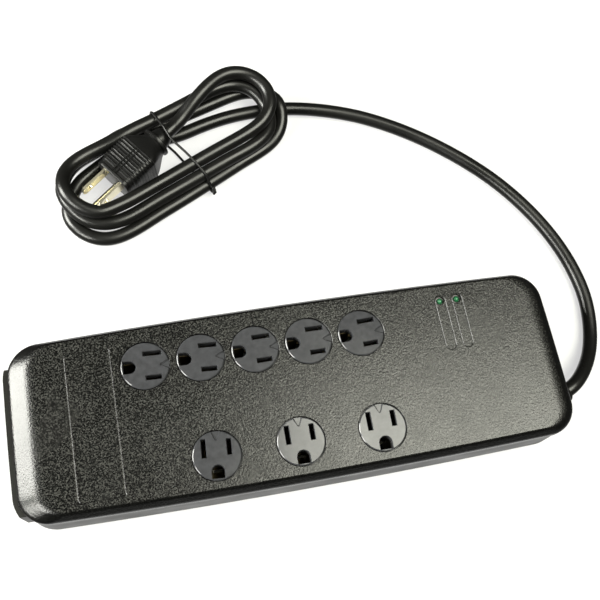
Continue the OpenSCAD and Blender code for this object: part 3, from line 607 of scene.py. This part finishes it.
# Rings of the plug's sleeve and of the collar behind its body: where along the plug, and radius.
SLEEVE = ((0, 4.2), (0.15, 4.9), (0.7, 5.3), (2.2, 5.9), (4.2, 6.3), (6.2, 6.5), (6.9, 5.9),
          (8.6, 5.9))
COLLAR = ((6.0, 6), (6.05, 8.4), (6.4, 9.0), (7.3, 9.1), (8.0, 8.9), (8.4, 8.1), (8.6, 6))
# The body's end: where along the plug, and by how much the section and its rounding change.
LIP = ((38.6, -0.7, 0), (38.9, 0.1, 0), (40.5, 0.1, 0), (40.85, -0.15, 0), (41, -0.6, -0.5))
# The rail's half spacing, and the sections of its walls and of its end: across, and above the body.
RAIL_Y = 1.15
RAIL_WALL = ((-0.42, -1), (-0.42, 0.55), (-0.25, 0.75), (0.25, 0.75), (0.42, 0.55), (0.42, -1))
RAIL_END = ((-1.2, -1), (-1.2, 0.5), (1.2, 0.5), (1.2, -1))
# The grip ridges: from and to, spacing, how far they stand out and up, and the bare middle's half.
RIDGES_FROM, RIDGES_TO, RIDGE_PITCH = 19, 36.6, 1.95
RIDGE_OUT, RIDGE_UP, RIDGE_FREE = 0.6, 0.55, 4.6


def grip_at(x):
    """How much of a ridge there is at x, from 0 in a hollow to 1 on a crest."""
    if not RIDGES_FROM < x < RIDGES_TO:
        return 0
    return max(0, math.sin(2 * math.pi * (x - RIDGES_FROM) / RIDGE_PITCH))


def make_plug():
    body = []
    for x in np.arange(BODY_START, BODY_END + 0.01, RING_STEP):
        w, t, r = plug_half_size(x)
        grip = grip_at(x)
        body.append([(px, py * (1 + RIDGE_OUT * grip / w * (abs(py) > RIDGE_FREE)),
                      pz + RIDGE_UP * grip * (pz > 0) * (abs(py) > RIDGE_FREE))
                     for px, py, pz in rounded_section(x, w, t, r)])
    w, t, r = plug_half_size(39)
    lip = [rounded_section(x, w + grow, t + grow, r + rounder) for x, grow, rounder in LIP]
    parts = [skin(body + lip)]
    for shape in (SLEEVE, COLLAR):
        parts.append(skin([round_section(x, r) for x, r in shape]))
    # the rail along the top: two thin walls, and a short one across their end
    for y in (-RAIL_Y, RAIL_Y):
        wall = [[(x, y + dy, PLUG_HALF_T + dz) for dy, dz in RAIL_WALL]
                for x in (20.2, 20.5, 38.4, 38.7)]
        wall[0] = [(px, py, min(pz, PLUG_HALF_T - 0.1)) for px, py, pz in wall[0]]
        parts.append(skin(wall))
    parts.append(skin([[(x, y, PLUG_HALF_T + dz) for y, dz in RAIL_END] for x in (20.3, 21.2)]))
    obj = mesh_piece("plug_moulding", *merge(parts), angle=40)
    turned = Matrix(plug_axes().tolist()).transposed().to_4x4()
    obj.data.transform(Matrix.Translation(Vector(PLUG_SPOT) * MM) @ turned)
    return obj


plug = wear(make_plug(), "plug_vinyl")
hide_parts("plug_body")


# ---- cover ------------------------------------------------------------------------------------

def rounded_rect(half_l, half_w, r, arc=20, side=72, end=28):
    """Points of a rounded rectangle with extra ones along its sides, so that the sides can bow."""
    x, y = half_l - r, half_w - r
    points = []
    # each corner's centre and start angle, and the next corner's start with the points up to it
    corners = (((x, y), 0, (-x, half_w), side), ((-x, y), 90, (-half_l, -y), end),
               ((-x, -y), 180, (x, -half_w), side), ((x, -y), 270, (half_l, y), end))
    for (cx, cy), start, (qx, qy), count in corners:
        for k in range(arc + 1):
            a = math.radians(start + 90 * k / arc)
            points.append((cx + r * math.cos(a), cy + r * math.sin(a)))
        px, py = points[-1]
        points += [(between(px, qx, k / count), between(py, qy, k / count)) for k in range(1, count)]
    return points


def outline(left, side, z, right=None):
    """One ring of the housing at height z, set in by these amounts, its sides bowed out a little."""
    ring = []
    right = left if right is None else right
    half_l, half_w = (BODY_L - left - right) / 2, BODY_W / 2 - side
    for x, y in rounded_rect(half_l, half_w, max(CORNER_R - side, 4)):
        x += (left - right) / 2
        ring.append((BODY_MID + x - min(max(x / 100, -1), 1) * END_BOW * (2 * y / BODY_W) ** 2,
                     y - min(max(y / 30, -1), 1) * SIDE_BOW * (2 * x / BODY_L) ** 2, z))
    return ring


def bezier(a, b, c, n):
    """A curve from a to c that is drawn towards b."""
    return [tuple((1 - t) ** 2 * p + 2 * t * (1 - t) * q + t * t * r for p, q, r in zip(a, b, c))
            for t in (k / n for k in range(n + 1))]


# The sloping edge, from below: depth under the top face, and share of the slope's width.
SLOPE_DEPTH = 7.2
SLOPE = (bezier((SLOPE_DEPTH, 0), (5.9, -0.01), (4.7, 0.19), 6) + [(3.7, 0.361), (2.7, 0.532)]
         + bezier((1.6, 0.72), (0.05, 0.99), (0, 1.4), 10))


def right_inset(depth):
    """The right end's own inset: it is rounded as a quarter of an ellipse."""
    return RIGHT_ROUND * (1 - math.sqrt(1 - (1 - depth / SLOPE_DEPTH) ** 2))


def ring_cutter(cx, cy, half_l, half_w, r, width, depth):
    """A closed groove with sloping sides, cut into the top face along a rounded rectangle."""
    loops = []
    profile = ((-0.1, 0.3), (0, 0), (width * 0.44, -depth), (width * 0.56, -depth), (width, 0),
               (width + 0.1, 0.3))
    for inset, z in profile:
        loop = rounded_rect(half_l - inset, half_w - inset, max(r - inset, 0.3), 8, 2, 2)
        loops.append([(cx + x, cy + y, BODY_H + z) for x, y in loop])
    return skin(loops, closed=True)


# Radius and height of the rings of the holes that the outlet faces and the lamps stand in.
HOLE_R = OUTLET_R + OUTLET_GAP
OUTLET_HOLE = ((HOLE_R, 20), (HOLE_R, BODY_H - 0.22), (HOLE_R + 0.25, BODY_H + 0.03),
               (HOLE_R + 0.25, BODY_H + 4))
LED_HOLE = ((1.75, 20), (1.75, 34.7), (2.2, 34.8), (2.35, BODY_H - 0.1), (2.35, 38))
# The ovals beside the lamps and the label's recess: half sizes, rounding, groove width and depth.
OVAL_GROOVE = (3.15, 15.65, 3, 0.65, 0.24)
LABEL_GROOVE = (11.8, 37.8, 2, 0.95, 0.26)
OVAL_Y, LABEL_SPOT = 22.3, (-102.3, -2)
POST_R, POST_FROM, POST_TO = 3.6, 12, 33.7


def make_cover():
    outside = [outline(0.25, 0.25, COVER_Z), outline(0, 0, COVER_Z + 0.3)]
    outside += [outline(s * LEFT_SLOPE, s * SIDE_SLOPE, BODY_H - d, right_inset(d)) for d, s in SLOPE]
    inside = [outline(LEFT_SLOPE + 0.3, SIDE_SLOPE + 1.7, UNDER_TOP),
              outline(WALL, WALL, UNDER_TOP - 4.4), outline(WALL, WALL, COVER_Z)]
    points, faces = skin(outside + inside, closed=True)
    n = len(outside[0])
    last = len(outside) - 1
    # the flat top and the flat underside take the place of the band that joins them
    faces = [f for f in faces if not (min(f) // n == last and max(f) // n == last + 1)]
    faces += [tuple(range(last * n, (last + 1) * n)), tuple(range((last + 1) * n, (last + 2) * n))]
    cover = mesh_piece("cover_shell", points, faces)
    cutters = []
    for (x, y), _ in OUTLETS:
        cutters.append(skin([circle(x, y, r, z) for r, z in OUTLET_HOLE]))
    for x, y in LED_SPOTS:
        cutters.append(skin([circle(x, y, r, z, 32) for r, z in LED_HOLE]))
        cutters.append(ring_cutter(x, OVAL_Y, *OVAL_GROOVE))
    cutters.append(ring_cutter(*LABEL_SPOT, *LABEL_GROOVE))
    carve(cover, mesh_piece("cutter", *merge(cutters)))
    posts = merge([skin([circle(x, y, POST_R, z, 24) for z in (POST_FROM, POST_TO)])
                   for x, y in SCREW_SPOTS])
    return cover, mesh_piece("cover_posts", *posts)


cover, posts = make_cover()
wear(cover, "cover_plastic")
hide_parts("top_cover")
wear(posts, "cover_plastic")


# ---- outlets ----------------------------------------------------------------------------------

# On a face, with its earth hole downwards: the slots' offsets, width and heights (neutral, line),
# the earth hole's radius, its arc's centre and its flat, and the notch's half width, tip and depth.
SLOT_X, SLOT_Y, SLOT_W, NEUTRAL_H, LINE_H = 6.35, 4, 2.3, 9.2, 7.9
EARTH_R, EARTH_Y, EARTH_FLAT = 3.2, -7.8, -11.1
NOTCH_HALF_W, NOTCH_FROM, NOTCH_TIP, NOTCH_TIP_R, NOTCH_DEPTH = 2.3, 13.4, 8.7, 0.5, 0.55


def hole_levels(chamfer):
    """Growth and height of the rings of a through hole, its mouth widened by the chamfer."""
    return (0, 25), (0, BODY_H - chamfer), (chamfer, BODY_H + 0.16), (chamfer, BODY_H + 3)


def slot_cutter(x, height):
    rings = []
    for grow, z in hole_levels(0.3):
        rings.append([(x + sx * (SLOT_W / 2 + grow), SLOT_Y + sy * (height / 2 + grow), z)
                      for sx, sy in ((1, 1), (-1, 1), (-1, -1), (1, -1))])
    return skin(rings)


def earth_cutter():
    """The earth hole: round towards the slots and square towards the rim."""
    rings = []
    for grow, z in hole_levels(0.35):
        r = EARTH_R + grow
        turns = [math.radians(7.5 * k) for k in range(25)]
        arc = [(r * math.cos(a), EARTH_Y + r * math.sin(a), z) for a in turns]
        rings.append(arc + [(-r, EARTH_FLAT - grow, z), (r, EARTH_FLAT - grow, z)])
    return skin(rings)


def notch_cutter():
    """The shallow pointed recess at the rim, with sloping sides."""
    turns = [math.radians(a) for a in range(205, 340, 15)]
    tip = [(NOTCH_TIP_R * math.cos(a), NOTCH_TIP + NOTCH_TIP_R * math.sin(a)) for a in turns]
    plan = [(-NOTCH_HALF_W, NOTCH_FROM)] + tip + [(NOTCH_HALF_W, NOTCH_FROM)]
    low = [(x, y, BODY_H - NOTCH_DEPTH) for x, y in plan]
    middle = [(x * 1.3, y - 0.7, BODY_H + 0.13) for x, y in plan]
    top = [(x * 1.3, y - 0.7, BODY_H + 3) for x, y in plan]
    return skin([low, middle, top])


def make_outlet(index):
    (x, y), turn = OUTLETS[index]
    rim = [(OUTLET_R, 30.4), (OUTLET_R, 31.6), (13.3, 31.6), (13.3, 33.45), (OUTLET_R, 33.5),
           (OUTLET_R, 35.72), (OUTLET_R - 0.12, 35.86), (OUTLET_R - 0.5, BODY_H + OUTLET_PROUD)]
    points, faces = skin([circle(0, 0, r, z, 96) for r, z in rim])
    disc = mesh_piece(f"outlet_face_{index + 1}", points, faces)
    cutter = merge([slot_cutter(-SLOT_X, NEUTRAL_H), slot_cutter(SLOT_X, LINE_H), earth_cutter(),
                    notch_cutter()])
    carve(disc, mesh_piece("cutter", *cutter))
    disc.data.transform(Matrix.Translation((x * MM, y * MM, 0))
                        @ Matrix.Rotation(math.radians(turn + TWIST[index]), 4, "Z"))
    wear(disc, "outlet_plastic")
    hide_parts(f"outlet_{index + 1}")


for number in range(len(OUTLETS)):
    make_outlet(number)


# ---- floor and light --------------------------------------------------------------------------

# The floor in millimetres, a little under the feet, and the room's radius in metres.
FLOOR_HALF, FLOOR_Z, ROOM_R = 4000, -0.15, 6


def paint(name, grey, glow):
    """An even, matt paint that glows, so that it shows no patches."""
    return material(name, (grey, grey, grey), 0.9, tone=(0.99, 1.01), specular=0.0,
                    emission=((1, 1, 1), glow))


def make_floor():
    corners = [(FLOOR_HALF * x, FLOOR_HALF * y, FLOOR_Z)
               for x, y in ((-1, -1), (1, -1), (1, 1), (-1, 1))]
    floor = mesh_piece("floor", corners, [(0, 1, 2, 3)])
    floor.data.materials.append(paint("floor_paint", 0.24, 0.6))
    floor.visible_glossy = False


def make_backdrop():
    """A pale room round the table, seen only by the camera."""
    rings = []
    for a in range(-85, 90, 10):
        out, up = math.cos(math.radians(a)), math.sin(math.radians(a))
        rings.append(circle(0, 0, ROOM_R * out / MM, ROOM_R * up / MM, 48))
    room = mesh_piece("backdrop", *skin(rings))
    room.data.materials.append(paint("backdrop_paint", 0.05, 0.8))
    room.visible_glossy = room.visible_diffuse = False
    room.visible_shadow = room.visible_transmission = False


def soft_light(name, spot, size, power, color, turn=(0, 0, 0)):
    """A rectangular lamp: place and size in metres, power in watts, turn in degrees."""
    data = bpy.data.lights.new(name, "AREA")
    data.color = color
    data.shape = "RECTANGLE"
    data.size, data.size_y = size
    data.energy = power
    light = bpy.data.objects.new(name, data)
    scene.collection.objects.link(light)
    light.location = spot
    light.rotation_euler = [math.radians(a) for a in turn]


def make_world():
    """A dim studio, bright below, as a pale table would be."""
    world = bpy.data.worlds.new("world")
    scene.world = world
    world.use_nodes = True
    nodes, links = world.node_tree.nodes, world.node_tree.links
    way = nodes.new("ShaderNodeTexCoord")
    parts = nodes.new("ShaderNodeSeparateXYZ")
    links.new(way.outputs["Generated"], parts.inputs["Vector"])
    height = nodes.new("ShaderNodeMapRange")
    height.interpolation_type = "SMOOTHSTEP"
    height.inputs["From Min"].default_value = -0.9
    height.inputs["From Max"].default_value = -0.4
    height.inputs["To Min"].default_value = 1.0
    height.inputs["To Max"].default_value = 0.06
    links.new(parts.outputs["Z"], height.inputs["Value"])
    sky = nodes["Background"]
    sky.inputs["Color"].default_value = (1, 1, 0.97, 1)
    links.new(height.outputs["Result"], sky.inputs["Strength"])


make_floor()
make_backdrop()
make_world()
soft_light("key", (0.59, -0.165, 1.15), (0.95, 0.83), 39, (1, 1, 0.87))
soft_light("left", (-0.76, 0.24, 0.36), (0.42, 0.42), 22, (1, 1, 0.93), turn=(0, -63, -17))
soft_light("left_front", (-0.70, -0.26, 0.42), (0.3, 0.3), 9, (1, 1, 0.93), turn=(0, -60, 20))
scene.view_settings.view_transform = "Standard"

bpy.context.view_layer.update()
